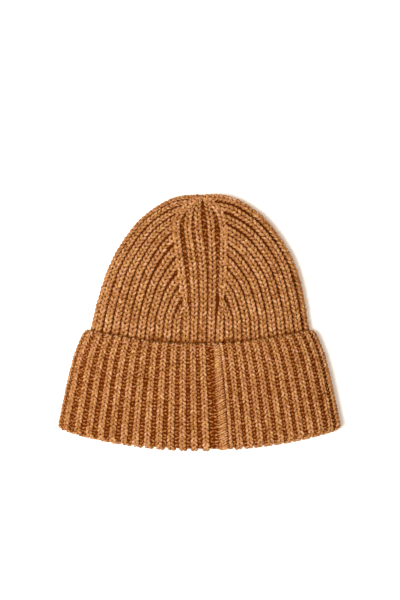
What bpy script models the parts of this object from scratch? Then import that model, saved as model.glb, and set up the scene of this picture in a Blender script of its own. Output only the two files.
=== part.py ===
"""Ribbed wool beanie with a turned-up cuff, lying on its back.

One knitted wall makes the whole hat. It runs from the tip of the crown down to the mouth, folds outwards
there and comes back up as the cuff, whose free edge lies round the foot of the crown.

Frame: the origin is on the surface that the hat lies on, in the middle of its outline. +Y points to the
tip of the crown, -Y out of the mouth, and +Z up through the upper half of the hat.
"""

import math

import bmesh
import bpy
import numpy as np

# Overall sizes, in metres.
CROWN_HEIGHT = 0.1264  # cuff's free edge to the tip, along the middle
CUFF_HEIGHT = 0.0916  # fold at the mouth to the cuff's free edge, along the middle
CROWN_HALF_WIDTH = 0.0933  # outside of the wall at the cuff's free edge
MOUTH_HALF_WIDTH = 0.1215  # outside of the cuff at the fold
HOLLOW_HEIGHT = 0.0150  # clear height inside the mouth

# The knitted fabric.
WALL = 0.0055  # over the ribs of both faces
RIB_COUNT = 52  # ribs round the hat
RIB_DEPTH = 0.0013  # groove between two ribs
PRESSED_FLAT = 0.0005  # wool this close to the surface is pressed flat on it, ribs and all
FOLD_GAP = 0.0006  # between the cuff and the wall that it covers
INNER_BEND = 0.0015  # inside radius where the upper half turns over into the lower half
PANEL_RIBS = 4.3  # ribs between the two lines of decreases, centre to centre
PANEL_SPREAD = 1.25  # how much wider that panel gets near the top of the crown
LEAST_PITCH = 0.3  # of the pitch that even spacing would give, where ribs crowd together and end

# How the rows of stitches bow towards the mouth, side against middle.
EDGE_BOW = 0.0104  # at the cuff's free edge
MOUTH_BOW = 0.0165  # at the fold
FLARE_POWER = 0.75  # the wall under the cuff widens fastest next to the free edge

CROWN_LEAN = 0.0023  # the crown lies this far over to +X of the cuff
LEAN_FROM, LEAN_TO = -0.020, 0.060  # and comes over between these two places along Y

# Stations of the crown, from the tip to the cuff's free edge: half width as a share of CROWN_HALF_WIDTH,
# then the drop of the side below the tip and the bow of the row, both as shares of CROWN_HEIGHT.
CROWN_STATIONS = (
    (0.000, 0.000, 0.000),
    (0.238, 0.012, 0.133),
    (0.411, 0.073, 0.203),
    (0.588, 0.177, 0.242),
    (0.749, 0.337, 0.234),
    (0.859, 0.496, 0.203),
    (0.942, 0.709, 0.148),
    (1.000, 1.000 - EDGE_BOW / CROWN_HEIGHT, EDGE_BOW / CROWN_HEIGHT),
)

# Derived heights above the surface, and places along the middle measured down from the tip.
FOLD_RADIUS = WALL + FOLD_GAP / 2
CUFF_RISE = WALL + FOLD_GAP
EDGE_HEIGHT = 2 * WALL + FOLD_GAP + INNER_BEND  # side and tip of the outline
EDGE_RADIUS = WALL + INNER_BEND  # of the wall's outer face
WALL_TOP = CUFF_RISE + 2 * WALL + HOLLOW_HEIGHT  # wall's outer face, at the cuff
LENGTH = CROWN_HEIGHT + CUFF_HEIGHT
FOLD_CENTRE = LENGTH - FOLD_RADIUS
SETTLE_LENGTH = 0.045  # the crown comes down off the cuff's lower half over this length
TOP_ROUNDING = 3.0  # how late the upper half curves down to the tip
BASE_ROUNDING = 12.0  # the same for the lower half, which lies flat

QUARTER_POINTS = RIB_COUNT // 2  # on a quarter ring: one on each ridge and one in each groove
RING_POINTS = 4 * QUARTER_POINTS
CURVE_SAMPLES = 700
SECTION_SAMPLES = 240

CROWN_RINGS = 12
HOLLOW_RINGS = 9
CUFF_STATIONS = 4  # rings up each face of the cuff and of the wall under it
FOLD_STEPS = 5
RIM_STEPS = 3

YARN_COLOUR = (0.440, 0.175, 0.056, 1.0)
YARN_ROUGHNESS = 0.9


def catmull_rom(points, samples):
    """A smooth curve through the points. The first one is on the axis of symmetry of the first column."""
    points = np.asarray(points, float)
    mirrored = points[1] * np.array([-1.0] + [1.0] * (points.shape[1] - 1))
    padded = np.vstack([mirrored, points, 2 * points[-1] - points[-2]])
    t = np.linspace(0, len(points) - 1 - 1e-9, samples)
    i = t.astype(int)
    f = (t - i)[:, None]
    a, b, c, d = (padded[i + k] for k in range(4))
    return 0.5 * (2 * b + (c - a) * f + (2 * a - 5 * b + 4 * c - d) * f**2 + (3 * b - a - 3 * c + d) * f**3)


def outline_stations():
    """Half width, drop of the side and bow of the wall's outer face, from the tip to just past the fold."""
    rows = [(w * CROWN_HALF_WIDTH, d * CROWN_HEIGHT, b * CROWN_HEIGHT) for w, d, b in CROWN_STATIONS]
    edge_width, edge_drop, _ = rows[-1]
    wall_at_mouth = MOUTH_HALF_WIDTH - CUFF_RISE
    for share in (0.3, 0.65, 1.0, 1.1):
        bow = EDGE_BOW + share * (MOUTH_BOW - EDGE_BOW)
        drop = CROWN_HEIGHT + share * CUFF_HEIGHT - bow
        rows.append((edge_width + (wall_at_mouth - edge_width) * share**FLARE_POWER, drop, bow))
    return rows


def crown_share(along):
    """0 at the cuff's free edge and below it, 1 at the tip."""
    return np.clip(1 - along / CROWN_HEIGHT, 0, 1)


def upper_height(along):
    rise = np.sqrt(np.clip(1 - crown_share(along) ** TOP_ROUNDING, 0, 1))
    return EDGE_HEIGHT + (WALL_TOP - EDGE_HEIGHT) * rise


def lower_height(along):
    settle = np.clip(1 - (CROWN_HEIGHT - along) / SETTLE_LENGTH, 0, 1)
    on_cuff = CUFF_RISE * settle**2 * (3 - 2 * settle)
    fall = np.sqrt(np.clip(1 - crown_share(along) ** BASE_ROUNDING, 0, 1))
    return EDGE_HEIGHT - (EDGE_HEIGHT - on_cuff) * fall


def normals(curve):
    """Outward unit normals of a plane curve that runs away from the tip."""
    run = np.gradient(curve, axis=0)
    across = np.stack([-run[:, 1], run[:, 0]], axis=1)
    return across / np.linalg.norm(across, axis=1)[:, None]


def leaned(point):
    share = min(max((point[1] - LEAN_FROM) / (LEAN_TO - LEAN_FROM), 0.0), 1.0)
    return point[0] + CROWN_LEAN * share**2 * (3 - 2 * share), point[1], point[2]


class Skeleton:
    """The side, upper middle and lower middle lines of the wall's outer face, which every layer is offset from."""

    def __init__(self):
        rows = catmull_rom(outline_stations(), CURVE_SAMPLES)
        self.along = rows[:, 1] + rows[:, 2]
        tip = LENGTH / 2
        self.side = np.stack([rows[:, 0], tip - rows[:, 1]], axis=1)
        self.upper = np.stack([upper_height(self.along), tip - self.along], axis=1)
        self.lower = np.stack([lower_height(self.along), tip - self.along], axis=1)
        self.side_out = normals(self.side)
        self.upper_out = normals(self.upper)
        self.lower_out = -normals(self.lower)
        for out in (self.side_out, self.upper_out, self.lower_out):
            out[0] = (0.0, 1.0)
        self.side_out *= np.where(self.side_out[:, :1] < 0, -1, 1)

    def at(self, line, out, along, inset):
        moved = line - inset * out
        return np.array([np.interp(along, self.along, moved[:, k]) for k in range(2)])

    def layer(self, along, inset):
        """(half width, side y, top z, top y, base z, base y) of the ring at this place and depth in the wall."""
        width, side_y = self.at(self.side, self.side_out, along, inset)
        top_z, top_y = self.at(self.upper, self.upper_out, along, inset)
        base_z, base_y = self.at(self.lower, self.lower_out, along, inset)
        return width, side_y, top_z, top_y, max(base_z, 0.0), base_y


def quarter(width, rise, radius):
    """Section from the side (first) to the middle (last) as x, rise above the side and distance run."""
    power = max(2.0, 2 * width * radius / rise**2)
    turn = np.linspace(0, math.pi / 2, SECTION_SAMPLES)
    bend = np.cos(turn[:-1]) ** (2 / power)
    share = np.sort(np.concatenate([bend, 1 - turn[1:] / turn[-1]]))[::-1]
    x = width * share
    z = rise * np.sqrt(1 - share**power)
    run = np.concatenate([[0], np.cumsum(np.hypot(np.diff(x), np.diff(z)))])
    return x, z, run


def rib_places(reach, full_reach, along):
    """Distances from the side of the ridges and grooves on a quarter ring, and each one's share of full depth.

    Beside the outline the ribs keep their pitch all the way up. They run into the line of decreases at the
    edge of the middle panel, where they crowd together and end.
    """
    nominal = np.linspace(0, full_reach, QUARTER_POINTS + 1)
    pitch = full_reach / QUARTER_POINTS
    panel_full = PANEL_RIBS * pitch
    spread = 1 + (PANEL_SPREAD - 1) * math.sin(math.pi * float(crown_share(along)))
    panel = min(panel_full * spread, 0.5 * reach)
    side_full, side = full_reach - panel_full, reach - panel
    crowding = max(1.0, side_full / side)
    share = np.clip(nominal / side_full, 0, 1)
    places = side * ((1 - LEAST_PITCH) * (1 - (1 - share) ** crowding) + LEAST_PITCH * share)
    beyond = nominal > side_full
    places[beyond] = side + (nominal[beyond] - side_full) * panel / panel_full
    spacing = np.gradient(places)
    return places, np.clip(spacing / pitch, 0, 1)


def ring(skeleton, along, inset, groove, ridges_even):
    """One closed row of points. groove is the move (along, inset) that takes a point down between two ribs."""
    halves = []
    full = skeleton.layer(CROWN_HEIGHT, inset)
    here = skeleton.layer(along, inset)
    deep = skeleton.layer(along + groove[0], inset + groove[1])
    for upper in (True, False):
        rows = []
        for layer in (full, here, deep):
            width, side_y, top_z, top_y, base_z, base_y = layer
            rise = (top_z - EDGE_HEIGHT) if upper else (EDGE_HEIGHT - base_z)
            x, z, run = quarter(width, rise, max(EDGE_RADIUS - inset, INNER_BEND))
            middle_y = top_y if upper else base_y
            y = side_y + (middle_y - side_y) * (1 - (x / max(width, 1e-9)) ** 2)
            rows.append((x, y, EDGE_HEIGHT + (z if upper else -z), run))
        places, depth = rib_places(rows[1][3][-1], rows[0][3][-1], along)
        points = []
        for j, place in enumerate(places):
            on_ridge = (j % 2 == 0) == ridges_even
            share = place / rows[1][3][-1]
            shallow, low = (
                np.array([np.interp(share * row[3][-1], row[3], row[k]) for k in range(3)]) for row in rows[1:]
            )
            if shallow[2] < PRESSED_FLAT:
                points.append(np.array([shallow[0], shallow[1], 0.0]))
            else:
                points.append(shallow if on_ridge else shallow + (low - shallow) * depth[j])
        halves.append(points)
    mirror = np.array([-1.0, 1.0, 1.0])
    upper, lower = halves
    return (
        upper
        + [p * mirror for p in upper[-2::-1]]
        + [p * mirror for p in lower[1:]]
        + lower[-2:0:-1]
    )


def wall_path():
    """The wall's surface as rings from the tip outside to the tip inside: (along, inset, groove, ridges_even).

    The face that shows on the crown has its ridges on the even points. The other face, which shows inside and
    on the cuff, has them on the odd points, as the back of a ribbed knit does.
    """
    crown = [(a, 0.0, (0.0, RIB_DEPTH), True) for a in spaced(CROWN_HEIGHT, CROWN_RINGS)]
    up_cuff = np.linspace(FOLD_CENTRE, CROWN_HEIGHT, CUFF_STATIONS + 1)
    under_cuff = [(a, 0.0, (0.0, RIB_DEPTH), True) for a in up_cuff[-2::-1]]
    cuff_back = [(a, -FOLD_GAP, (0.0, -RIB_DEPTH), True) for a in up_cuff[:-1]]
    rim = []
    for step in range(RIM_STEPS + 1):
        turn = math.pi * step / RIM_STEPS
        along = CROWN_HEIGHT + WALL / 2 * (1 - math.sin(turn))
        inset = -FOLD_GAP - WALL / 2 * (1 - math.cos(turn))
        inward = (RIB_DEPTH * math.sin(turn), RIB_DEPTH * -math.cos(turn))
        rim.append((along, inset, inward, step < RIM_STEPS / 2))
    cuff_face = [(a, -CUFF_RISE, (0.0, RIB_DEPTH), False) for a in up_cuff[-2:0:-1]]
    fold = []
    for step in range(FOLD_STEPS + 1):
        turn = math.pi * step / FOLD_STEPS
        along = FOLD_CENTRE + FOLD_RADIUS * math.sin(turn)
        inset = -FOLD_GAP / 2 - FOLD_RADIUS * math.cos(turn)
        fold.append((along, inset, (-RIB_DEPTH * math.sin(turn), RIB_DEPTH * math.cos(turn)), False))
    inside = [(a, WALL, (0.0, -RIB_DEPTH), False) for a in up_cuff[1:]]
    hollow = [(a, WALL, (0.0, -RIB_DEPTH), False) for a in spaced(CROWN_HEIGHT, HOLLOW_RINGS)[-2::-1]]
    return crown + under_cuff + cuff_back + rim + cuff_face + fold + inside + hollow


def spaced(length, count):
    """Places from near the tip to the given length, closer together where the crown is round."""
    return [length * (k / count) ** 1.35 for k in range(1, count + 1)]


def knitted_hat():
    skeleton = Skeleton()
    mesh = bmesh.new()
    rings = [[mesh.verts.new(leaned(p)) for p in ring(skeleton, *row)] for row in wall_path()]
    tip = LENGTH / 2
    outer_tip = mesh.verts.new(leaned((0.0, tip, EDGE_HEIGHT)))
    inner_tip = mesh.verts.new(leaned((0.0, tip - WALL, EDGE_HEIGHT)))
    count = RING_POINTS
    for first, second in zip(rings, rings[1:]):
        for j in range(count):
            k = (j + 1) % count
            mesh.faces.new((first[j], first[k], second[k], second[j]))
    for pole, loop in ((outer_tip, rings[0]), (inner_tip, rings[-1])):
        for j in range(count):
            mesh.faces.new((pole, loop[j], loop[(j + 1) % count]))
    bmesh.ops.recalc_face_normals(mesh, faces=mesh.faces)
    data = bpy.data.meshes.new("beanie")
    mesh.to_mesh(data)
    mesh.free()
    data.shade_smooth()
    return data


def yarn_material():
    material = bpy.data.materials.new("camel_wool")
    material.use_nodes = True
    shader = material.node_tree.nodes["Principled BSDF"]
    shader.inputs["Base Color"].default_value = YARN_COLOUR
    shader.inputs["Roughness"].default_value = YARN_ROUGHNESS
    shader.inputs["Metallic"].default_value = 0.0
    return material


def main():
    for obj in list(bpy.data.objects):
        bpy.data.objects.remove(obj)
    hat = bpy.data.objects.new("beanie", knitted_hat())
    hat.data.materials.append(yarn_material())
    bpy.context.scene.collection.objects.link(hat)


main()
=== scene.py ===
"""Ribbed wool beanie with a turned-up cuff, lying flat on a white table.

The fabric is a 1x1 rib. Its outer face shows on the crown. Its inner face lines the hat, turns
round the fold at the mouth and shows on the cuff. Every stitch of a rib is a pair of bent strands
of yarn. Everything is in millimetres until a mesh is made.
"""

import math

import bpy
import numpy as np
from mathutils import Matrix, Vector


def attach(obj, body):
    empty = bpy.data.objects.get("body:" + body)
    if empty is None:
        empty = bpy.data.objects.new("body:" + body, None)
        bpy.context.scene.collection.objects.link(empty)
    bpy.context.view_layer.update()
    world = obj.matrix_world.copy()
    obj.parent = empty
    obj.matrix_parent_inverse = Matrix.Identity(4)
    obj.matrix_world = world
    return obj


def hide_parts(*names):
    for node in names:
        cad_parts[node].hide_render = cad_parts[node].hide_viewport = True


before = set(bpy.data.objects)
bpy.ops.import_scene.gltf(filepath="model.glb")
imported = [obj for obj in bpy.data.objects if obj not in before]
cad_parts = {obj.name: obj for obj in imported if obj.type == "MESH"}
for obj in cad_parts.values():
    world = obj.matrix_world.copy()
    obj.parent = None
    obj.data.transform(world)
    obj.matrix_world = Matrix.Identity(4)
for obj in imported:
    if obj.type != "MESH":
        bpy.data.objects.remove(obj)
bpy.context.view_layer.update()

MM = 0.001
RNG = np.random.default_rng(7)

# ---------------------------------------------------------------- the shape of the hat

CROWN_HEIGHT = 126.4
CUFF_HEIGHT = 91.6
CROWN_HALF_WIDTH = 93.3
MOUTH_HALF_WIDTH = 121.5
HOLLOW_HEIGHT = 15.0
WALL = 5.5
FOLD_GAP = 0.6
INNER_BEND = 1.5
EDGE_BOW = 10.4
MOUTH_BOW = 16.5
FLARE_POWER = 0.75
FLARE_STATIONS = (0.3, 0.65, 1.0, 1.1)  # shares of the cuff's height; the last is past the mouth
EDGE_TUCK = 3.2  # the cuff's free edge draws in this far at the sides
EDGE_TUCK_LENGTH = 3.5

FOLD_RADIUS = WALL + FOLD_GAP / 2
CUFF_RISE = WALL + FOLD_GAP
EDGE_HEIGHT = 2 * WALL + FOLD_GAP + INNER_BEND
EDGE_RADIUS = WALL + INNER_BEND
WALL_TOP = CUFF_RISE + 2 * WALL + HOLLOW_HEIGHT
LENGTH = CROWN_HEIGHT + CUFF_HEIGHT
FOLD_CENTRE = LENGTH - FOLD_RADIUS
SETTLE_LENGTH = 45.0  # of the crown's underside, as it comes down off the cuff
TOP_ROUNDING = 3.0
BASE_ROUNDING = 12.0

CROWN_LEAN = 2.3  # the crown lies this far over to +X of the cuff
LEAN_START = -20.0  # where it begins to, on the plan
LEAN_LENGTH = 80

TABLE_GAP = 0.05  # wool that would reach below the table is pressed flat this far above it

# half width, drop of the side below the tip, bow of the row; shares of the two crown sizes
CROWN_STATIONS = (
    (0.000, 0.000, 0.000),
    (0.238, 0.012, 0.133),
    (0.411, 0.073, 0.203),
    (0.588, 0.177, 0.242),
    (0.749, 0.337, 0.234),
    (0.859, 0.496, 0.203),
    (0.942, 0.709, 0.148),
    (1.000, 1.000 - EDGE_BOW / CROWN_HEIGHT, EDGE_BOW / CROWN_HEIGHT),
)

OUTLINE_POINTS = 900
QUARTER_POINTS = 200
COLUMNS = 150  # of a face's grid, from the side of the hat to its middle


def catmull_rom(points, samples):
    points = np.asarray(points, float)
    mirrored = points[1] * np.array([-1.0] + [1.0] * (points.shape[1] - 1))
    padded = np.vstack([mirrored, points, 2 * points[-1] - points[-2]])
    t = np.linspace(0, len(points) - 1 - 1e-9, samples)
    i = t.astype(int)
    f = (t - i)[:, None]
    a, b, c, d = (padded[i + k] for k in range(4))
    second, third = 2 * a - 5 * b + 4 * c - d, 3 * b - a - 3 * c + d
    return 0.5 * (2 * b + (c - a) * f + second * f**2 + third * f**3)


def distances(points):
    """How far along the line each of its points lies."""
    return np.concatenate([[0], np.cumsum(np.linalg.norm(np.diff(points, axis=0), axis=1))])


def read_line(run, at, points):
    """The points of a line at the given distances along it."""
    return np.stack([np.interp(at, run, points[:, k]) for k in range(points.shape[1])], axis=-1)


def crown_share(along):
    return np.clip(1 - along / CROWN_HEIGHT, 0, 1)


def outline():
    """Half width, drop of the side and bow of the wall's rows, from the tip to past the mouth."""
    rows = [
        (width * CROWN_HALF_WIDTH, drop * CROWN_HEIGHT, bow * CROWN_HEIGHT)
        for width, drop, bow in CROWN_STATIONS
    ]
    edge_width = rows[-1][0]
    wall_at_mouth = MOUTH_HALF_WIDTH - CUFF_RISE
    for share in FLARE_STATIONS:
        bow = EDGE_BOW + share * (MOUTH_BOW - EDGE_BOW)
        drop = CROWN_HEIGHT + share * CUFF_HEIGHT - bow
        rows.append((edge_width + (wall_at_mouth - edge_width) * share**FLARE_POWER, drop, bow))
    return catmull_rom(rows, OUTLINE_POINTS)


def outward(curve):
    run = np.gradient(curve, axis=0)
    across = np.stack([-run[:, 1], run[:, 0]], axis=1)
    return across / np.linalg.norm(across, axis=1)[:, None]


class Skeleton:
    """Side, upper middle and lower middle lines of the wall's outer face."""

    def __init__(self):
        rows = outline()
        self.along = rows[:, 1] + rows[:, 2]
        tip = LENGTH / 2
        above = crown_share(self.along)
        rise = np.sqrt(np.clip(1 - above**TOP_ROUNDING, 0, 1))
        top = EDGE_HEIGHT + (WALL_TOP - EDGE_HEIGHT) * rise
        settle = np.clip(1 - (CROWN_HEIGHT - self.along) / SETTLE_LENGTH, 0, 1)
        on_cuff = CUFF_RISE * settle**2 * (3 - 2 * settle)
        fall = np.sqrt(np.clip(1 - above**BASE_ROUNDING, 0, 1))
        base = EDGE_HEIGHT - (EDGE_HEIGHT - on_cuff) * fall
        self.lines, self.outs = [], []
        for first, second, turn in (
            (rows[:, 0], tip - rows[:, 1], 1),
            (top, tip - self.along, 1),
            (base, tip - self.along, -1),
        ):
            line = np.stack([first, second], axis=1)
            out = outward(line) * turn
            out[0] = (0.0, 1.0)
            self.lines.append(line)
            self.outs.append(out)
        self.outs[0] *= np.where(self.outs[0][:, :1] < 0, -1, 1)

    def layer(self, along, inset):
        found = []
        for line, out in zip(self.lines, self.outs):
            moved = line - inset * out
            found += [np.interp(along, self.along, moved[:, k]) for k in range(2)]
        found[4] = max(found[4], 0.0)
        if inset < 0:
            from_edge = max(along - CROWN_HEIGHT, 0)
            found[0] -= EDGE_TUCK * math.exp(-from_edge / EDGE_TUCK_LENGTH)
        return found


SKELETON = Skeleton()


def quarter(along, inset, upper):
    """Points of a quarter row, side first, at even steps, and its length."""
    width, side_y, top_z, top_y, base_z, base_y = SKELETON.layer(along, inset)
    rise = (top_z - EDGE_HEIGHT) if upper else (EDGE_HEIGHT - base_z)
    middle_y = top_y if upper else base_y
    radius = max(EDGE_RADIUS - inset, INNER_BEND)
    power = max(2.0, 2 * width * radius / rise**2)
    turn = np.linspace(0, math.pi / 2, QUARTER_POINTS)
    bend = np.cos(turn[:-1]) ** (2 / power)
    share = np.sort(np.concatenate([bend, 1 - turn[1:] / turn[-1]]))[::-1]
    x = width * share
    z = rise * np.sqrt(np.clip(1 - share**power, 0, 1))
    y = side_y + (middle_y - side_y) * (1 - share**2)
    z = EDGE_HEIGHT + (z if upper else -z)
    points = np.stack([x, y, z], axis=1)
    run = distances(points)
    return read_line(run, np.linspace(0, run[-1], COLUMNS), points), run[-1]


class Face:
    """Half of one face of the fabric as a grid of rows.

    A place on it is (row, signed distance from the middle).
    """

    def __init__(self, rows, upper):
        self.rows = np.array(rows)
        made = [quarter(along, inset, upper) for along, inset in rows]
        self.grid = np.array([points for points, _ in made])
        self.reach = np.array([length for _, length in made])
        across = np.gradient(self.grid, axis=1)
        down = np.gradient(self.grid, axis=0)
        normal = np.cross(down, across)
        normal /= np.linalg.norm(normal, axis=2)[..., None] + 1e-12
        if (normal[40, -5, 2] > 0) != upper:  # any place near the middle of the first rows
            normal = -normal
        self.normals = normal

    def reach_at(self, row):
        return np.interp(row, np.arange(len(self.reach)), self.reach)

    def at(self, row, middle):
        row = np.clip(row, 0, len(self.grid) - 1.001)
        column = np.clip(1 - np.abs(middle) / self.reach_at(row), 0, 1) * (COLUMNS - 1.001)
        i, j = row.astype(int), column.astype(int)
        f, g = (row - i)[..., None], (column - j)[..., None]
        found = []
        for field in (self.grid, self.normals):
            value = (field[i, j] * (1 - f) + field[i + 1, j] * f) * (1 - g)
            value = value + (field[i, j + 1] * (1 - f) + field[i + 1, j + 1] * f) * g
            value[..., 0] *= np.where(middle < 0, -1, 1)
            found.append(value)
        found[1] /= np.linalg.norm(found[1], axis=-1)[..., None] + 1e-12
        return found

    def row_of(self, along):
        return np.interp(along, self.rows[:, 0], np.arange(len(self.rows)))

    def place(self, plan):
        """The (row, distance from the middle) over or under each point of the plan."""
        plan = np.atleast_2d(np.asarray(plan, float))
        target = np.stack([np.abs(plan[:, 0]), plan[:, 1]], axis=1)
        flat = self.grid[..., :2]
        near = [np.argmin(np.sum((flat - t) ** 2, axis=2)) for t in target]
        i, j = np.unravel_index(near, flat.shape[:2])
        i = np.clip(i, 1, flat.shape[0] - 2)
        j = np.clip(j, 1, flat.shape[1] - 2)
        down = (flat[i + 1, j] - flat[i - 1, j]) / 2
        across = (flat[i, j + 1] - flat[i, j - 1]) / 2
        gap = target - flat[i, j]
        size = down[:, 0] * across[:, 1] - down[:, 1] * across[:, 0]
        size = np.where(np.abs(size) < 1e-6, 1e-6, size)
        step_row = (gap[:, 0] * across[:, 1] - gap[:, 1] * across[:, 0]) / size
        step_column = (down[:, 0] * gap[:, 1] - down[:, 1] * gap[:, 0]) / size
        row = i + np.clip(step_row, -1, 1)
        column = j + np.clip(step_column, -1, 1)
        middle = self.reach_at(row) * (1 - column / (COLUMNS - 1))
        return row, np.where(plan[:, 0] < 0, -1, 1) * np.clip(middle, 0.02, None)


# ---------------------------------------------------------------- the gauge of the knit

PITCH = 7.2  # between two ribs of the crown
STITCH = 3.78  # height of a stitch on the crown
CUFF_STITCH = 3.4
LINING_STITCH = 4.2
PURL_STEP = 2.9  # between the cross bars in the cuff's grooves
SIDE_PURL_STEP = 2.4
BED = 1.5  # the middle of the yarn lies this far below the wall's outer face on the crown
CUFF_BED = 2.0  # and on the cuff and inside

SHADE = 3.8  # how much painted shade darkens the wool where it lies low between the ribs
SHADE_BELOW = 0.35  # height that the painted shade starts at
# height that the painted shade starts at on the cross bars
PURL_SHADE_BELOW = -0.7
CORNER_SHADE = 8.0  # and how much painted shadow darkens the crown where it goes under the cuff's edge
RIB_TONE = 0.12  # how much one rib's tone differs from the next

STRAND_SIDES = 6
SQUASH = 0.95  # a strand is this much flatter than it is wide
CAP = 0.6  # its ends stand out by this share of its radius
FULL_HALF = 3.6  # half width of a rib whose stitches are at their full height
WIDEST_HALF = 4.1
LOBE = 0.45  # how much higher the stitches stand at the fold
LOBE_LENGTH = 6
STITCH_JITTER = (0.04, 0.05, 0.10, 0.05)  # along the rib, outwards, in height, in thickness
THIN, THICK = 0.6, 1.04  # the least and most that a rib's width thins or thickens its yarn
PURL_SLANT = 0.3  # of a cross bar, in steps
PURL_BOW = 0.16
PURL_DROP = 0.75  # of its two ends
PURL_JITTER = (0.08, 0.06, 0.10, 0.07)  # along the groove, outwards, in height, in slant
CUFF_SHADOW_PLACE = 0.5  # the painted shadow line is darkest this far above the cuff's edge
# half width of the painted shadow line
CUFF_SHADOW_HALF = 1.1

# a strand of a stitch: run along the rib in stitches, out from its middle in half ribs, height,
# thickness
CROWN_LEG = (
    (-0.60, -0.40, -0.14, 0.14, 0.40, 0.62),
    (0.08, 0.21, 0.36, 0.50, 0.60, 0.64),
    (-1.15, 0.00, 0.56, 0.48, -0.15, -1.40),
    (0.82, 1.18, 1.33, 1.33, 1.18, 0.82),
)
CUFF_LEG = (
    (-0.74, -0.45, -0.15, 0.12, 0.38, 0.60),
    (0.05, 0.19, 0.36, 0.50, 0.60, 0.65),
    (-0.85, 0.08, 0.62, 0.45, -0.30, -1.60),
    (0.88, 1.12, 1.23, 1.23, 1.06, 0.75),
)

# ---------------------------------------------------------------- laying yarn


class Line:
    """A line over the fabric, measured by its own length, that stitches are laid along."""

    def __init__(self, points, normals):
        self.points, self.normals = points, normals
        self.run = distances(points)
        self.length = self.run[-1]
        self.tangents = np.gradient(points, axis=0)
        self.tangents /= np.linalg.norm(self.tangents, axis=1)[:, None] + 1e-12
        self.half = np.full(len(self.run), PITCH / 2)  # half width of the rib

    def read(self, field, run):
        return read_line(self.run, np.clip(run, 0, self.length), field)

    def at(self, run, sideways, height):
        tangent = self.read(self.tangents, run)
        normal = self.read(self.normals, run)
        normal -= tangent * np.sum(tangent * normal, axis=-1)[..., None]
        normal /= np.linalg.norm(normal, axis=-1)[..., None]
        lateral = np.cross(tangent, normal)
        beyond = (run - np.clip(run, 0, self.length))[..., None]
        point = self.read(self.points, run) + beyond * tangent
        return point + lateral * sideways[..., None] + normal * height[..., None], normal

    def half_width(self, run):
        return np.interp(run, self.run, self.half)


def track(face, rows, middles):
    """The line through places on a face."""
    return Line(*face.at(np.asarray(rows, float), np.asarray(middles, float)))


def groove_between(one, two, run, other_run):
    """The line half way between two ribs, and the gap between them along it."""
    first = one.read(one.points, run)
    second = two.read(two.points, other_run)
    line = Line(0.5 * (first + second), one.read(one.normals, run))
    return line, np.linalg.norm(first - second, axis=1)


class Yarn:
    """Strands of yarn gathered into one mesh."""

    def __init__(self, name, sides, rings):
        self.name, self.sides, self.rings = name, sides, rings
        self.points, self.tones_and_shade = [], []

    def add(self, centres, radii, normals, tone):
        """centres (n, rings, 3), radii (n, rings), normals (n, rings, 3), tone (n, rings) of
        random tone and painted shade.
        """
        run = np.gradient(centres, axis=1)
        run /= np.linalg.norm(run, axis=2)[..., None] + 1e-12
        side = np.cross(run, normals)
        side /= np.linalg.norm(side, axis=2)[..., None] + 1e-12
        up = np.cross(side, run)
        turn = np.arange(self.sides) / self.sides * 2 * math.pi
        wide = radii[:, :, None, None]
        ring = (
            centres[:, :, None]
            + wide * np.cos(turn)[None, None, :, None] * side[:, :, None]
            + SQUASH * wide * np.sin(turn)[None, None, :, None] * up[:, :, None]
        )
        ring = ring.reshape(len(centres), -1, 3)
        first = centres[:, 0] - run[:, 0] * radii[:, 0, None] * CAP
        last = centres[:, -1] + run[:, -1] * radii[:, -1, None] * CAP
        self.points.append(np.concatenate([ring, first[:, None], last[:, None]], axis=1))
        ring_tone_and_shade = np.repeat(tone, self.sides, axis=1)
        self.tones_and_shade.append(np.concatenate([ring_tone_and_shade, tone[:, :1], tone[:, -1:]], axis=1))

    def template(self):
        """Corners, corner counts and unwrapped corners of one strand."""
        s, r = self.sides, self.rings
        corners, counts, flat = [], [], []
        for i in range(r - 1):
            for j in range(s):
                k = (j + 1) % s
                corners += [i * s + j, i * s + k, (i + 1) * s + k, (i + 1) * s + j]
                flat += [(j / s, i), ((j + 1) / s, i), ((j + 1) / s, i + 1), (j / s, i + 1)]
                counts.append(4)
        for j in range(s):
            k = (j + 1) % s
            corners += [s * r, k, j, s * r + 1, (r - 1) * s + j, (r - 1) * s + k]
            flat += [((j + 0.5) / s, -0.5), ((j + 1) / s, 0), (j / s, 0)]
            flat += [((j + 0.5) / s, r - 0.5), (j / s, r - 1), ((j + 1) / s, r - 1)]
            counts += [3, 3]
        return np.array(corners), np.array(counts), np.array(flat, float) / (1, r - 1)

    def build(self, material):
        points = np.concatenate(self.points)
        tones_and_shade = np.concatenate(self.tones_and_shade).ravel()
        n, per = points.shape[:2]
        corners, counts, flat = self.template()
        corners = (corners[None] + per * np.arange(n)[:, None]).ravel()
        counts, flat = np.tile(counts, n), np.tile(flat, (n, 1))
        points = points.reshape(-1, 3)
        return make_mesh(self.name, points, corners, counts, material, tones_and_shade, flat)


def leaned(points):
    """The crown lies a little over to one side of the cuff."""
    share = np.clip((points[:, 1] - LEAN_START) / LEAN_LENGTH, 0, 1)
    over = CROWN_LEAN * share**2 * (3 - 2 * share)
    return points + np.stack([over, 0 * share, 0 * share], axis=1)


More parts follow.
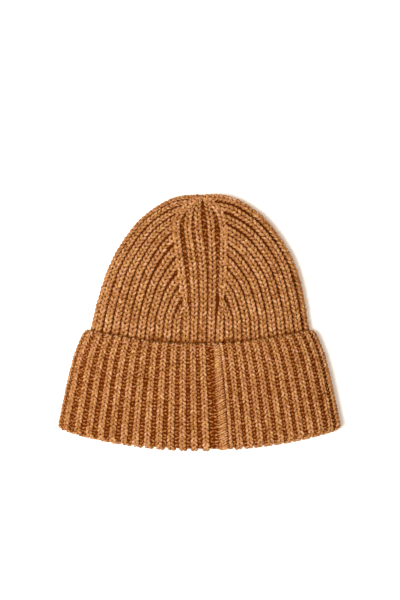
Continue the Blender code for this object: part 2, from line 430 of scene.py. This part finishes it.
def make_mesh(name, points, corners, counts, material, tones_and_shade=None, flat=None):
    points[:, 2] = np.maximum(points[:, 2], TABLE_GAP)
    points = leaned(points)
    mesh = bpy.data.meshes.new(name)
    mesh.vertices.add(len(points))
    mesh.vertices.foreach_set("co", (points * MM).astype(np.float32).ravel())
    mesh.loops.add(len(corners))
    mesh.loops.foreach_set("vertex_index", corners.astype(np.int32))
    mesh.polygons.add(len(counts))
    starts = np.concatenate([[0], np.cumsum(counts)[:-1]])
    mesh.polygons.foreach_set("loop_start", starts.astype(np.int32))
    mesh.update(calc_edges=True)
    if flat is not None:
        layer = mesh.uv_layers.new(name="strand")
        layer.data.foreach_set("uv", flat.astype(np.float32).ravel())
    # the tone attribute holds random tone and painted shade
    if tones_and_shade is not None:
        tone = mesh.attributes.new("tone", "FLOAT", "POINT")
        tone.data.foreach_set("value", tones_and_shade.astype(np.float32))
    mesh.validate()
    mesh.shade_smooth()
    mesh.materials.append(material)
    obj = bpy.data.objects.new(name, mesh)
    bpy.context.scene.collection.objects.link(obj)
    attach(obj, "root")
    return obj


def resampled(values, rings):
    return np.interp(np.linspace(0, 1, rings), np.linspace(0, 1, len(values)), values)


def cuff_shadow_share(points):
    """How far into the painted shadow line at the cuff's free edge each point lies, 0 to 1."""
    edge = LENGTH / 2 - CROWN_HEIGHT + EDGE_BOW * (points[..., 0] / CROWN_HALF_WIDTH) ** 2
    return np.exp(-(((points[..., 1] - edge - CUFF_SHADOW_PLACE) / CUFF_SHADOW_HALF) ** 2))


def knit(yarn, rib, leg, stitch, tone=0.0, lift=0.0, corner=0.0, lobe=None):
    """Lays the stitches of one rib, which open along it; lobe is where it goes over the fold."""
    count = int(rib.length / stitch)
    if count < 1:
        return
    middle = (np.arange(count) + 0.5) * rib.length / count
    along, outward_share, height, thickness = [resampled(v, yarn.rings)[None] for v in leg]
    half = rib.half_width(middle)[:, None]
    width = np.minimum(half, WIDEST_HALF)
    for side in (-1, 1):
        jitter = [a * j for a, j in zip(STITCH_JITTER, RNG.normal(0, 1, (4, count, 1)))]
        run = middle[:, None] + (along + jitter[0]) * stitch
        out = side * outward_share * width * (1 + jitter[1])
        rise = height * np.minimum(half / FULL_HALF, 1.0) + jitter[2] + lift
        if lobe is not None:
            rise = rise + LOBE * np.exp(-(((run - lobe) / LOBE_LENGTH) ** 2))
        thick = thickness * np.clip(width / FULL_HALF, THIN, THICK) * (1 + jitter[3])
        centres, normals = rib.at(run, out, rise)
        # random tone, less painted shade where the strand lies low between the ribs
        tones_and_shade = RNG.normal(tone, 1, (count, 1)) - SHADE * np.maximum(SHADE_BELOW - rise, 0)
        # painted shadow where the crown goes under the cuff's free edge
        if corner:
            tones_and_shade = tones_and_shade - corner * cuff_shadow_share(centres)
        yarn.add(centres, thick, normals, tones_and_shade)


def purl(yarn, groove, step, start=0.0, end=None, *, sink, wide, thick):
    """Lays the small cross bars that show at the bottom of a groove, in a zigzag."""
    end = groove.length if end is None else end
    count = int((end - start) / step)
    if count < 1:
        return
    middle = start + (np.arange(count) + 0.5) * (end - start) / count
    across = np.linspace(-1, 1, yarn.rings)[None]
    jitter = [a * j for a, j in zip(PURL_JITTER, RNG.normal(0, 1, (4, count, 1)))]
    slant = PURL_SLANT * np.where(np.arange(count) % 2, 1, -1)[:, None] + jitter[3]
    run = middle[:, None] + step * (jitter[0] + slant * across - PURL_BOW * (across**2 - 0.4))
    out = across * wide * (1 + jitter[1])
    rise = sink - PURL_DROP * across**2 + jitter[2]
    centres, normals = groove.at(run, out, rise)
    # random tone, less painted shade where the bar lies low in the groove
    tones_and_shade = RNG.normal(0, 1, (count, 1)) - SHADE * np.maximum(PURL_SHADE_BELOW - rise, 0)
    yarn.add(centres, thick * (1.0 - 0.2 * across**2) + 0 * run, normals, tones_and_shade)


# ---------------------------------------------------------------- the crown

PANEL_MIDDLE = 2.5  # the panel's middle rib lies this far to +X at the cuff
PANEL_EDGE = 2  # number of the panel's outermost ribs
PANEL_EDGE_LIFT = 0.25
# The middle panel's five ribs on the plan, from the cuff to the tip.
PANEL = {
    -2: (
        (-11.5, -22), (-11.4, 8), (-12.4, 17), (-14.8, 27), (-18.8, 52),
        (-22.2, 76), (-22.0, 85), (-18.0, 93), (-10.5, 100), (-2.2, 106),
    ),
    -1: (
        (-4.7, -22), (-4.7, 17), (-7.4, 45), (-12.4, 78), (-12.0, 88),
        (-9.4, 96), (-5.2, 102), (-1.2, 106.5),
    ),
    0: ((2.5, -22), (2.5, 17), (1.0, 45), (-3.2, 78), (-4.2, 90), (-3.2, 98), (-0.6, 106.5)),
    1: ((9.8, -22), (9.8, 17), (9.0, 45), (7.8, 78), (6.6, 90), (4.0, 99), (0.8, 106.5)),
    2: (
        (17.0, -22), (17.2, 8), (17.6, 17), (17.8, 45), (18.2, 72),
        (18.0, 84), (15.0, 93), (8.4, 100), (1.8, 106),
    ),
}
# Where the side ribs run into the lines of decreases, innermost first, as heights on the plan.
RIB_ENDS = {
    -1: (17.0, 27.2, 40.0, 52.0, 63.0, 73.0, 82.0, 89.5, 95.5, 101.0, 105.6),
    1: (18.5, 32.0, 43.5, 53.5, 62.5, 71.0, 79.5, 88.0, 97.0, 105.6),
}
EDGE_RIB = {-1: 0.9, 1: 0.7}  # how far inside the outline the last rib of each side lies
EVEN_HEIGHT = 3.0  # height on the plan where the side ribs are evenly spaced
UNDER_CUFF = 7.0  # the side ribs go on this far past the cuff's edge
SIDE_GROOVE_UNDER_CUFF = 4.0
LOW_PURL_RIBS = 11  # the grooves between ribs nearer the middle than this have cross bars
LOW_PURL_RUN = 30  # on this much of their length, where they go under the cuff
WIDE_GROOVE = 1.12 * PITCH  # a groove of the panel wider than this has them too
HALF_RANGE = (1.7, 4.2)  # of the crown's ribs


def smooth(line, times):
    for _ in range(times):
        line[1:-1] = (line[:-2] + 2 * line[1:-1] + line[2:]) / 4
    return line


def even_line(points, count):
    points = np.array(points, float)
    run = distances(points)
    return read_line(run, np.linspace(0, run[-1], count), points)


def nearest(points, place):
    """Which point of a line is nearest to a place, and how far away each one is."""
    away = np.linalg.norm(points - place, axis=1)
    return int(np.argmin(away)), away


def crown_lines(face):
    """The ribs of the crown, by number from the middle, as lines of the plan up to the tip."""
    lines = {k: smooth(even_line(points, 120), 30) for k, points in PANEL.items()}
    lowest = int(face.row_of(CROWN_HEIGHT + UNDER_CUFF))
    edge = even_line(face.grid[: lowest + 1, 0, :2][::-1], 400)
    edge = np.concatenate([edge, even_line([edge[-1], (0.0, edge[-1][1] + 0.2)], 30)[1:]])
    inward = np.stack([-np.gradient(edge[:, 1]), np.gradient(edge[:, 0])], axis=1)
    inward /= np.linalg.norm(inward, axis=1)[:, None]
    inward = smooth(inward, 12)
    inward[-1] = (0, -1)
    for hand, ends in RIB_ENDS.items():
        guide = lines[PANEL_EDGE * hand] * (hand, 1)
        for n, stop_y in enumerate(ends):
            k = n + PANEL_EDGE + 1
            target = np.array([hand * (PANEL_MIDDLE + hand * PITCH * k), EVEN_HEIGHT])
            first, away = nearest(edge, target)
            depth = EDGE_RIB[hand] if n == len(ends) - 1 else away[first]
            end = guide[int(np.argmin(np.abs(guide[:, 1] - stop_y)))]
            stop, away = nearest(edge, end)
            share = np.clip((np.arange(stop + 1) - first) / (stop - first), 0, 1)
            here = depth + (away[stop] - depth) * share**1.5
            line = edge[: stop + 1] + inward[: stop + 1] * here[:, None]
            flare = (edge[:first] - edge[first]) * (line[first, 0] / edge[first, 0], 1)
            line[:first] = line[first] + flare
            line = line + (end - line[-1]) * (share**4)[:, None]
            lines[hand * k] = smooth(even_line(line, 130), 6) * (hand, 1)
    return lines


def crown_tracks(face):
    tracks = {}
    for k, line in crown_lines(face).items():
        row, middle = face.place(line)
        where = smooth(np.stack([row, np.abs(middle) * np.sign(line[:, 0])], axis=1), 4)
        tracks[k] = track(face, where[:, 0], where[:, 1])
    return tracks


def set_widths(tracks):
    """Each rib is as wide as the space between its neighbours lets it be."""
    order = sorted(tracks)
    for n, k in enumerate(order):
        rib = tracks[k]
        gaps = []
        for other in (n - 1, n + 1):
            if 0 <= other < len(order):
                line = tracks[order[other]].points
                gap = np.linalg.norm(rib.points[:, None] - line[None], axis=2)
                gaps.append(np.min(gap, axis=1))
        rib.half = np.clip(np.mean(gaps, axis=0) / 2, *HALF_RANGE)


def crown_face(upper):
    below = np.linspace(30.4, CROWN_HEIGHT + 9, 170)
    alongs = np.concatenate([np.linspace(0.6, 30, 90), below])
    return Face([(along, BED) for along in alongs], upper)


def side_groove(face):
    """The groove down each side and over the tip, between the outermost ribs of the halves."""
    rim = np.arange(1, int(face.row_of(CROWN_HEIGHT + SIDE_GROOVE_UNDER_CUFF)))
    mirror = (-1, 1, 1)
    points, normals = face.grid[rim, 0], face.normals[rim, 0]
    points = np.concatenate([points[::-1] * mirror, points])
    normals = np.concatenate([normals[::-1] * mirror, normals])
    return Line(points, normals)


def lay_crown(upper, material, shaded_wool):
    face = crown_face(upper)
    tracks = crown_tracks(face)
    set_widths(tracks)
    name = "crown_front" if upper else "crown_back"
    yarn = Yarn(name + "_stitches", STRAND_SIDES, 6)
    bars = Yarn(name + "_purls", STRAND_SIDES, 5)
    # painted shadow under the cuff's free edge, on the upper face only
    corner = CORNER_SHADE if upper else 0.0
    for k, rib in tracks.items():
        tone = RNG.normal(0, RIB_TONE)
        lift = PANEL_EDGE_LIFT if abs(k) == PANEL_EDGE else 0.0
        knit(yarn, rib, CROWN_LEG, STITCH, tone=tone, lift=lift, corner=corner)
    order = sorted(tracks)
    for a, b in zip(order, order[1:]):
        one, two = tracks[a], tracks[b]
        if abs(a) < LOW_PURL_RIBS and abs(b) < LOW_PURL_RIBS:
            run = np.linspace(0, LOW_PURL_RUN, 40)
            groove, _ = groove_between(one, two, run, run)
            purl(bars, groove, STITCH, sink=-1.5, wide=1.2, thick=1.0)
        if a >= -PANEL_EDGE and b <= PANEL_EDGE:
            share = np.linspace(0, 1, 100)
            groove, gap = groove_between(one, two, share * one.length, share * two.length)
            wide = groove.run[gap > WIDE_GROOVE]
            if len(wide):
                purl(bars, groove, STITCH, wide[0], wide[-1], sink=-0.9, wide=1.7, thick=0.95)
    if upper:
        purl(bars, side_groove(face), SIDE_PURL_STEP, sink=-0.7, wide=2.3, thick=1.0)
    # the cross bars take the wool with painted shade
    return [yarn.build(material), bars.build(shaded_wool)]


# ---------------------------------------------------------------- the cuff and the lining

EDGE_ROWS = 12  # of the inner face's grid: round the cuff's free edge,
CUFF_ROWS = 110  # down the cuff,
FOLD_ROWS = 22  # round the fold
CUFF_END = EDGE_ROWS + CUFF_ROWS
FOLD_END = CUFF_END + FOLD_ROWS
MID_CUFF = EDGE_ROWS + 60
LINING_START = FOLD_END + 6  # where the cuff's stitches stop and the lining's begin
TRACK_POINTS = 240

# The cuff's ribs, as shares of its half width, at mid height.
CUFF_HALF_WIDTH = 109
CUFF_STEP = 0.0825
CUFF_LEFT = [-0.953 + CUFF_STEP * n for n in range(13)]
CUFF_RIGHT = [0.274 + 0.0735 * n for n in range(10)]
CUFF_SIDE_RIB = 0.99
CUFF_BACK = [-0.96 + 0.0835 * n for n in range(24)]
RIB_SHARE = 0.80  # of the spacing that a rib takes up,
RIB_FLARE = (0.93, 1.08)  # times this from the cuff's free edge to the fold
LINING_HALF_RANGE = (1.5, 4.0)
RIGHT_NARROWING = 0.93  # of the ribs to the right of the seam
SEAM_SHARE = 0.8  # which is how far from the side to the middle they reach
SEAM_RIDGE = 0.184
SEAM_LEFT = -6.0  # the seam's two edges, from the middle of its ridge
SEAM_RIGHT = 4.5
# how far the ribs lean over to the right of a straight line to the tip, across the cuff
LEAN_PLACES = (-0.6, -0.2, 0.05, 0.2, 0.5, 0.85)
LEAN_DEGREES = (0.0, 0.6, 2.2, 3.0, 2.4, 0.0)
RIB_HALF = 3.0  # of a rib on the cuff
WIDE_GAP = 4.6  # a groove wider than this shows two rows of cross bars
PURL_STAGGER = 1.4  # between the two rows
PURL_OVERLAP = 0.3  # the bars reach this far under the ribs
PURL_NARROWEST = 1.3

# the seam's rows: middle of the strand, its slant, its half length, thickness, spacing
SEAM_ROWS = ((-2.7, -3.9, 1.8, 1.0, 2.0), (3.3, 0.9, 2.0, 1.4, CUFF_STITCH))
SEAM_NARROWING = 0.72  # of the seam at the cuff's free edge
SEAM_FULL = 0.4  # share of the way down where it is at its full width
SEAM_HEIGHT = 0.35
SEAM_DROP = 0.95  # of its strands' two ends
SEAM_JITTER = 0.12
SEAM_TONE = 0.2


def lining_rows():
    """The inner face of the fabric from the cuff's free edge over the fold to the tip."""
    rows = []
    edge = CROWN_HEIGHT + WALL / 2
    radius = WALL - CUFF_BED - WALL / 2
    for turn in np.linspace(-0.4 * math.pi, 0.5 * math.pi, EDGE_ROWS + 1)[:-1]:
        inset = -FOLD_GAP - WALL / 2 - radius * math.sin(turn)
        rows.append((edge - radius * math.cos(turn), inset))
    rows += [(along, -CUFF_RISE + CUFF_BED) for along in np.linspace(edge, FOLD_CENTRE, CUFF_ROWS)]
    radius = FOLD_RADIUS - CUFF_BED
    for turn in np.linspace(0, math.pi, FOLD_ROWS + 2)[1:-1]:
        inset = -FOLD_GAP / 2 - radius * math.cos(turn)
        rows.append((FOLD_CENTRE + radius * math.sin(turn), inset))
    inner = [*np.linspace(FOLD_CENTRE, 40, 150), *np.linspace(39, 3, 70)]
    return rows + [(along, WALL - CUFF_BED) for along in inner]


def lay_lining(upper, material, shaded_wool):
    face = Face(lining_rows(), upper)
    ring, reach = face.grid[MID_CUFF], face.reach[MID_CUFF]
    even = np.linspace(0, reach, COLUMNS)

    def share_of(x):
        """Share of the way from the side to the middle."""
        return float(np.interp(-abs(x) * ring[0, 0], -ring[:, 0], even)) / reach

    def line(hand, share, first, end, count=TRACK_POINTS):
        rows = np.linspace(first, end, count)
        middles = hand * (1 - share) * face.reach_at(rows)
        if upper:
            lean = np.interp(middles[0] / reach, LEAN_PLACES, LEAN_DEGREES)
            down = np.clip((rows - MID_CUFF) / (FOLD_END - MID_CUFF), -1, 1)
            middles = middles + math.tan(math.radians(1)) * lean * down * CUFF_HEIGHT / 2
        return track(face, rows, middles)

    places = CUFF_LEFT + CUFF_RIGHT if upper else CUFF_BACK
    ribs = [(math.copysign(1, x), share_of(x)) for x in places]
    if upper:
        ribs += [(1, share_of(CUFF_SIDE_RIB)), (-1, 0.0), (1, 0.0)]
    name = "front" if upper else "back"
    outside = Yarn(f"cuff_{name}_stitches", STRAND_SIDES, 6)
    bars = Yarn(f"cuff_{name}_purls", STRAND_SIDES, 5)
    inside = Yarn(f"lining_{name}_stitches", 5, 4)
    spacing = CUFF_STEP * CUFF_HALF_WIDTH
    cuff_rows = np.linspace(0, LINING_START, TRACK_POINTS)
    last = len(face.grid) - 1.01

    for hand, share in ribs:
        rib = line(hand, share, 0, LINING_START)
        flare = np.interp(rib.run, [0, rib.length], RIB_FLARE)
        rib.half = flare * spacing / 2 * RIB_SHARE
        if upper and hand > 0 and share < SEAM_SHARE:
            rib.half = rib.half * RIGHT_NARROWING
        fold = float(np.interp(CUFF_END + FOLD_ROWS / 2, cuff_rows, rib.run))
        knit(outside, rib, CUFF_LEG, CUFF_STITCH, tone=RNG.normal(0, RIB_TONE), lobe=fold)
        rib = line(hand, share, LINING_START, last, 260)
        reach_here = face.reach_at(np.linspace(LINING_START, last, 260))
        rib.half = np.clip(reach_here / reach * spacing / 2, *LINING_HALF_RANGE)
        knit(inside, rib, CROWN_LEG, LINING_STITCH)
    edges = [(hand * (1 - share) * reach, -RIB_HALF, RIB_HALF) for hand, share in ribs]
    if upper:
        share = share_of(SEAM_RIDGE)
        lay_seam(outside, line(1, share, 0, LINING_START))
        edges.append(((1 - share) * reach, SEAM_LEFT, SEAM_RIGHT))
    edges.sort()
    for (a, _, a_right), (b, b_left, _) in zip(edges, edges[1:]):
        gap = (b + b_left) - (a + a_right)
        rows = 2 if gap > WIDE_GAP else 1
        for n in range(rows):
            centre = (a + a_right + gap * (n + 0.5) / rows) / reach
            groove = line(math.copysign(1, centre), 1 - abs(centre), 1, FOLD_END + 4)
            wide = max(gap / rows / 2 + PURL_OVERLAP, PURL_NARROWEST)
            start = PURL_STAGGER * n
            purl(bars, groove, PURL_STEP, start=start, sink=-0.78, wide=wide, thick=0.95)
    # the cross bars take the wool with painted shade
    return [outside.build(material), bars.build(shaded_wool), inside.build(material)]


def lay_seam(yarn, seam):
    """The joining seam: a flat ridge of strands that all slant one way, and a narrow cord."""
    along = np.linspace(-1, 1, yarn.rings)[None]
    for shift, slope, half, thick, step in SEAM_ROWS:
        count = int(seam.length / step)
        middle = (np.arange(count) + 0.5) * seam.length / count
        jitter = SEAM_JITTER * RNG.normal(0, 1, (3, count, 1))
        run = middle[:, None] + along * half + jitter[0]
        narrow = np.interp(middle, [0, SEAM_FULL * seam.length], [SEAM_NARROWING, 1.0])[:, None]
        out = -(shift + along * slope) * narrow + jitter[1]
        rise = SEAM_HEIGHT - SEAM_DROP * along**4 + jitter[2]
        centres, normals = seam.at(run, out, rise)
        # random tone, less painted shade where the strand lies low
        tones_and_shade = RNG.normal(SEAM_TONE, 1, (count, 1)) - SHADE * np.maximum(SHADE_BELOW - rise, 0)
        yarn.add(centres, thick * (1 - 0.25 * along**2) + 0 * run, normals, tones_and_shade)


# ---------------------------------------------------------------- the fabric under the stitches

WALL_HALF = 0.3  # the sheet inside the wall is this thick each way of its middle
WALL_STEP = 5  # columns of the grid between its corners


def wall_rows():
    under = WALL / 2 - WALL_HALF
    edge = CROWN_HEIGHT + WALL / 2
    rows = [(along, under) for along in CROWN_HEIGHT * np.linspace(0.03, 1, 26) ** 1.35]
    rows += [(along, under) for along in np.linspace(CROWN_HEIGHT, FOLD_CENTRE, 8)[1:]]
    down = np.linspace(edge, FOLD_CENTRE, 8)
    rows += [(along, -FOLD_GAP - under) for along in down[::-1]]
    radius = WALL / 2 - under
    for turn in np.linspace(0, math.pi, 5)[1:-1]:
        inset = -FOLD_GAP - WALL / 2 + radius * math.cos(turn)
        rows.append((edge - radius * math.sin(turn), inset))
    rows += [(along, -CUFF_RISE + under) for along in down]
    radius = FOLD_RADIUS - under
    for turn in np.linspace(0, math.pi, 8)[1:-1]:
        inset = -FOLD_GAP / 2 - radius * math.cos(turn)
        rows.append((FOLD_CENTRE + radius * math.sin(turn), inset))
    rows += [(along, WALL - under) for along in down[::-1]]
    up = (CROWN_HEIGHT * np.linspace(0.04, 1, 20) ** 1.35)[-2::-1]
    return rows + [(along, WALL - under) for along in up]


def lay_wall(material):
    mirror = np.array([-1.0, 1, 1])
    rings = []
    for along, inset in wall_rows():
        top = quarter(along, inset, True)[0][::WALL_STEP]
        base = quarter(along, inset, False)[0][::WALL_STEP]
        half_rings = [top, (top * mirror)[-2::-1], (base * mirror)[1:], base[-2:0:-1]]
        rings.append(np.concatenate(half_rings))
    rings = np.array(rings)
    n, m = rings.shape[:2]
    points = rings.reshape(-1, 3)
    tip_out = points[:m].mean(axis=0) + (0, 1.0, 0)
    tip_in = points[-m:].mean(axis=0) + (0, 0.6, 0)
    points = np.concatenate([points, tip_out[None], tip_in[None]])
    corners, counts = [], []
    for i in range(n - 1):
        for j in range(m):
            k = (j + 1) % m
            corners += [i * m + j, i * m + k, (i + 1) * m + k, (i + 1) * m + j]
            counts.append(4)
    for j in range(m):
        k = (j + 1) % m
        corners += [n * m, k, j, n * m + 1, (n - 1) * m + j, (n - 1) * m + k]
        counts += [3, 3]
    return make_mesh("knit_wall", points, np.array(corners), np.array(counts), material)


# ---------------------------------------------------------------- looks

# each wool's darkest, middle and lightest colour, linear; painted shade in the tone moves the wool
# towards its darkest
CAMEL = ((0.212, 0.054, 0.004), (0.492, 0.217, 0.082), (0.778, 0.473, 0.270))
# a darker copy of the wool with painted shade, for the cross bars that lie in the grooves
SHADED_CAMEL = ((0.132, 0.027, 0.002), (0.350, 0.114, 0.026), (0.625, 0.312, 0.130))
# of the sheet under the stitches, dark with painted shade
CORE_SHADE_CAMEL = (0.096, 0.016, 0.001)
SHEEN_TINT = (1.0, 0.72, 0.45, 1)
YELLOWER = (0.98, 1.0, 0.74)  # the heather's two tints
PINKER = (1.0, 0.94, 1.0)
TONE_WEIGHT = 0.032  # of a stitch's own tone and painted shade in the heather
PATCH_WEIGHT = 0.12  # of its broad patches
PLIES = 3.0  # the yarn's plies wind round a strand this often across it,
PLY_TURNS = 2.6  # and along it


def principled(name):
    material = bpy.data.materials.new(name)
    material.use_nodes = True
    return material, material.node_tree.nodes["Principled BSDF"]


def shaded_core_wool():
    """The fabric under the stitches, which shows only at the bottom of the grooves, dark with
    painted shade.
    """
    material, shader = principled("wool_core_shaded")
    shader.inputs["Base Color"].default_value = (*CORE_SHADE_CAMEL, 1)
    shader.inputs["Roughness"].default_value = 0.9
    shader.inputs["Specular IOR Level"].default_value = 0.0
    return material


def wool(name, dark, mid, light):
    material, shader = principled(name)
    nodes, links = material.node_tree.nodes, material.node_tree.links
    shader.inputs["Roughness"].default_value = 0.9
    shader.inputs["Specular IOR Level"].default_value = 0.01
    shader.inputs["Sheen Weight"].default_value = 0.03
    shader.inputs["Sheen Roughness"].default_value = 0.6
    shader.inputs["Sheen Tint"].default_value = SHEEN_TINT
    place = nodes.new("ShaderNodeTexCoord").outputs["Object"]

    def noise(scale, detail, roughness=0.5):
        node = nodes.new("ShaderNodeTexNoise")
        node.inputs["Scale"].default_value = scale
        node.inputs["Detail"].default_value = detail
        node.inputs["Roughness"].default_value = roughness
        links.new(place, node.inputs["Vector"])
        return node.outputs["Fac"]

    def combine(kind, first, second=0.0):
        node = nodes.new("ShaderNodeMath")
        node.operation = kind
        for socket, value in zip(node.inputs, (first, second)):
            if isinstance(value, (int, float)):
                socket.default_value = value
            else:
                links.new(value, socket)
        return node.outputs[0]

    def ramp(source, low, high):
        node = nodes.new("ShaderNodeValToRGB")
        for stop, (position, colour) in zip(node.color_ramp.elements, (low, high)):
            stop.position = position
            stop.color = (*colour, 1)
        links.new(source, node.inputs["Fac"])
        return node

    # the heather: fine flecks, a tone for each stitch with painted shade where it lies low, and
    # broad patches
    tone = nodes.new("ShaderNodeAttribute")
    tone.attribute_name = "tone"
    stitch = combine("MULTIPLY", tone.outputs["Fac"], TONE_WEIGHT)
    heather = combine("ADD", noise(620, 3, 0.6), stitch)
    heather = combine("ADD", heather, combine("MULTIPLY", noise(70, 2), PATCH_WEIGHT))
    shades = ramp(combine("SUBTRACT", heather, PATCH_WEIGHT / 2), (0.30, dark), (0.72, light))
    shades.color_ramp.elements.new(0.5).color = (*mid, 1)
    tint = ramp(noise(260, 1), (0.35, YELLOWER), (0.65, PINKER))
    mix = nodes.new("ShaderNodeMix")
    mix.data_type = "RGBA"
    mix.blend_type = "MULTIPLY"
    mix.inputs["Factor"].default_value = 1.0
    links.new(shades.outputs["Color"], mix.inputs["A"])
    links.new(tint.outputs["Color"], mix.inputs["B"])
    links.new(mix.outputs["Result"], shader.inputs["Base Color"])

    # the plies of the yarn wind round each strand, and it is fuzzy
    strand = nodes.new("ShaderNodeUVMap")
    strand.uv_map = "strand"
    split = nodes.new("ShaderNodeSeparateXYZ")
    links.new(strand.outputs["UV"], split.inputs[0])
    around = combine("MULTIPLY", split.outputs["X"], PLIES)
    wind = combine("ADD", around, combine("MULTIPLY", split.outputs["Y"], PLY_TURNS))
    wave = combine("MULTIPLY", combine("SINE", combine("MULTIPLY", wind, 2 * math.pi)), 0.5)
    bump = nodes.new("ShaderNodeBump")
    bump.inputs["Strength"].default_value = 0.55
    bump.inputs["Distance"].default_value = 0.0003
    fuzz = combine("MULTIPLY", noise(2600, 2), 1.2)
    links.new(combine("ADD", wave, fuzz), bump.inputs["Height"])
    links.new(bump.outputs["Normal"], shader.inputs["Normal"])
    return material


def build_hat():
    yarn = wool("wool", *CAMEL)
    # the cross bars in the grooves get a copy of the wool darkened with painted shade
    shaded_wool = wool("wool_shaded", *SHADED_CAMEL)
    pieces = lay_crown(True, yarn, shaded_wool) + lay_crown(False, yarn, shaded_wool)
    pieces += lay_lining(True, yarn, shaded_wool) + lay_lining(False, yarn, shaded_wool)
    # the sheet under the stitches is coloured dark with painted shade
    wall = lay_wall(shaded_core_wool())
    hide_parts("beanie")


# ---------------------------------------------------------------- the table, the light, the camera

TABLE_HALF = 3  # metres
GLOW = (1.0, 0.90, 0.78, 1)  # of the table, seen only where it is in shadow
AMBIENT = (1.0, 0.88, 0.74, 1)
KEY_PLACE = (-0.42, -0.10, 1.64)
KEY_COLOUR = (1.0, 0.99, 0.97)
CAMERA_DISTANCE = 1.8
VIEW_HEIGHT = 0.510  # of the picture, at the height of the hat's edge
VIEW_MIDDLE = (0.0004, 0.0183)
SENSOR = 36


def build_table():
    material, shader = principled("table")
    shader.inputs["Base Color"].default_value = (0.93, 0.93, 0.93, 1)
    shader.inputs["Emission Color"].default_value = GLOW
    shader.inputs["Emission Strength"].default_value = 0.34
    shader.inputs["Roughness"].default_value = 1.0
    shader.inputs["Specular IOR Level"].default_value = 0.0
    mesh = bpy.data.meshes.new("table")
    h = TABLE_HALF
    mesh.from_pydata([(-h, -h, 0), (h, -h, 0), (h, h, 0), (-h, h, 0)], [], [(0, 1, 2, 3)])
    mesh.materials.append(material)
    table = bpy.data.objects.new("table", mesh)
    bpy.context.scene.collection.objects.link(table)


def build_light():
    scene = bpy.context.scene
    scene.view_settings.view_transform = "Standard"
    scene.world = bpy.data.worlds.new("studio")
    scene.world.use_nodes = True
    background = scene.world.node_tree.nodes["Background"]
    background.inputs["Color"].default_value = AMBIENT
    background.inputs["Strength"].default_value = 0.26
    light = bpy.data.lights.new("key", "AREA")
    light.shape = "DISK"
    light.size = 0.6
    light.energy = 35.6
    light.color = KEY_COLOUR
    lamp = bpy.data.objects.new("key", light)
    lamp.location = KEY_PLACE
    lamp.rotation_euler = (-Vector(KEY_PLACE)).to_track_quat("-Z", "Y").to_euler()
    scene.collection.objects.link(lamp)


def build_camera():
    data = bpy.data.cameras.new("camera")
    data.sensor_width = SENSOR
    data.lens = SENSOR * CAMERA_DISTANCE / VIEW_HEIGHT
    data.clip_start = 0.05
    camera = bpy.data.objects.new("camera", data)
    camera.location = (*VIEW_MIDDLE, CAMERA_DISTANCE + EDGE_HEIGHT * MM)
    bpy.context.scene.collection.objects.link(camera)
    bpy.context.scene.camera = camera


build_hat()
build_table()
build_light()
build_camera()
